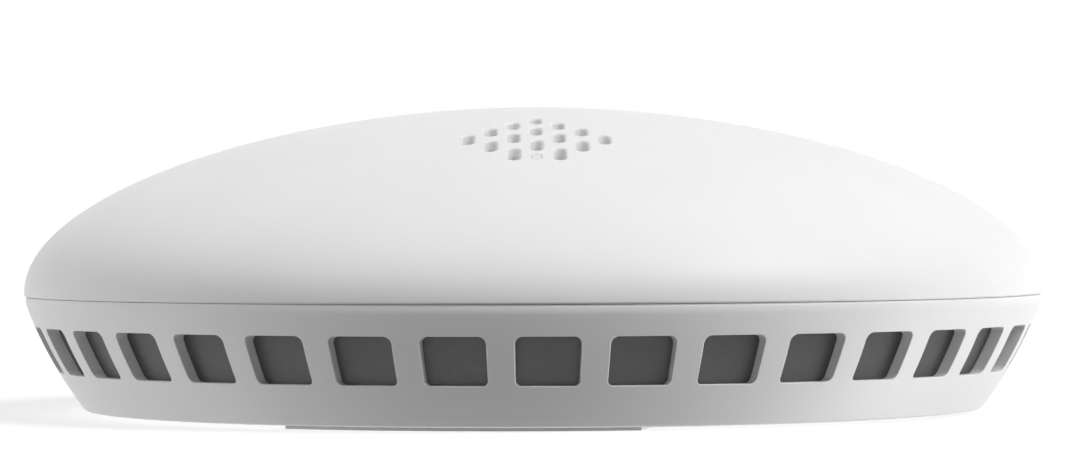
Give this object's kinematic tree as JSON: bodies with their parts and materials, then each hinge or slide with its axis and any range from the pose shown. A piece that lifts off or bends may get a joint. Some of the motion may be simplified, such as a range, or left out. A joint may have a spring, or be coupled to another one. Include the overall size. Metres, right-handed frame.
{
  "type": "carbon monoxide detector",
  "caption": "Low round domed carbon monoxide detector with a ring of vent windows, a sounder grille, a flush test button and a twist-lock wall bracket.",
  "frame": {"origin": "centre of the wall bracket's flat back, which is also the lowest point", "axes": "+Z along the detector's axis, out of the wall towards the dome's apex; -Y towards the sounder grille"},
  "size_m": [0.132, 0.132, 0.0394],
  "materials": {
    "white_plastic": "satin moulded",
    "dark_mesh": "fine woven mesh",
    "green_board": "solder mask",
    "grey_plastic": "moulded",
    "black_plastic": "moulded",
    "steel": "plated",
    "nickel": "bright strip",
    "brass": "rolled sheet",
    "ceramic": "fired",
    "copper": "enamelled wire",
    "cell_sleeve": "shrink sleeve",
    "clear_plastic": "polished",
    "green_lens": "cast lens"
  },
  "bodies": {
    "bracket": {"mounting_bracket": "white_plastic"},
    "detector": {"rear_housing": "white_plastic", "dome_cover": "white_plastic", "insect_screen": "dark_mesh", "circuit_board": "green_board", "co_sensor_cell": "grey_plastic", "co_sensor_filter": "steel", "siren_horn": "black_plastic", "piezo_disc": "brass", "piezo_ceramic": "ceramic", "siren_retainer": "grey_plastic", "siren_contact_1": "nickel", "siren_contact_2": "nickel", "lithium_cell": "cell_sleeve", "cell_cradle": "grey_plastic", "cell_tab_positive": "nickel", "cell_tab_negative": "nickel", "status_led": "green_lens", "light_pipe": "clear_plastic", "tact_switch": "steel", "power_switch": "grey_plastic", "microcontroller": "black_plastic", "sensor_amplifier": "black_plastic", "boost_coil": "copper", "capacitor_1": "cell_sleeve", "capacitor_2": "cell_sleeve", "cover_screw_1": "steel", "board_screw_1": "steel", "cover_screw_2": "steel", "board_screw_2": "steel", "cover_screw_3": "steel", "board_screw_3": "steel"},
    "test_button": {"test_button": "white_plastic", "tact_plunger": "black_plastic"},
    "activation_slider": {"activation_slider": "grey_plastic", "power_switch_lever": "black_plastic"}
  },
  "joints": [
    {"name": "twist_lock", "type": "hinge", "parent": "bracket", "child": "detector", "pos_m": [0, 0, 0], "axis": [0, 0, 1], "range_deg": [0, 15]},
    {"name": "test_button_press", "type": "slide", "parent": "detector", "child": "test_button", "axis": [0, 0, -1], "range_m": [0, 0.0008], "stiffness_N_per_m": 2500},
    {"name": "activation_slide", "type": "hinge", "parent": "detector", "child": "activation_slider", "pos_m": [0, 0, 0], "axis": [0, 0, 1], "range_deg": [-15, 0]}
  ],
  "couplings": [
    {"joint": "activation_slide", "follows": "twist_lock", "ratio": -1}
  ]
}
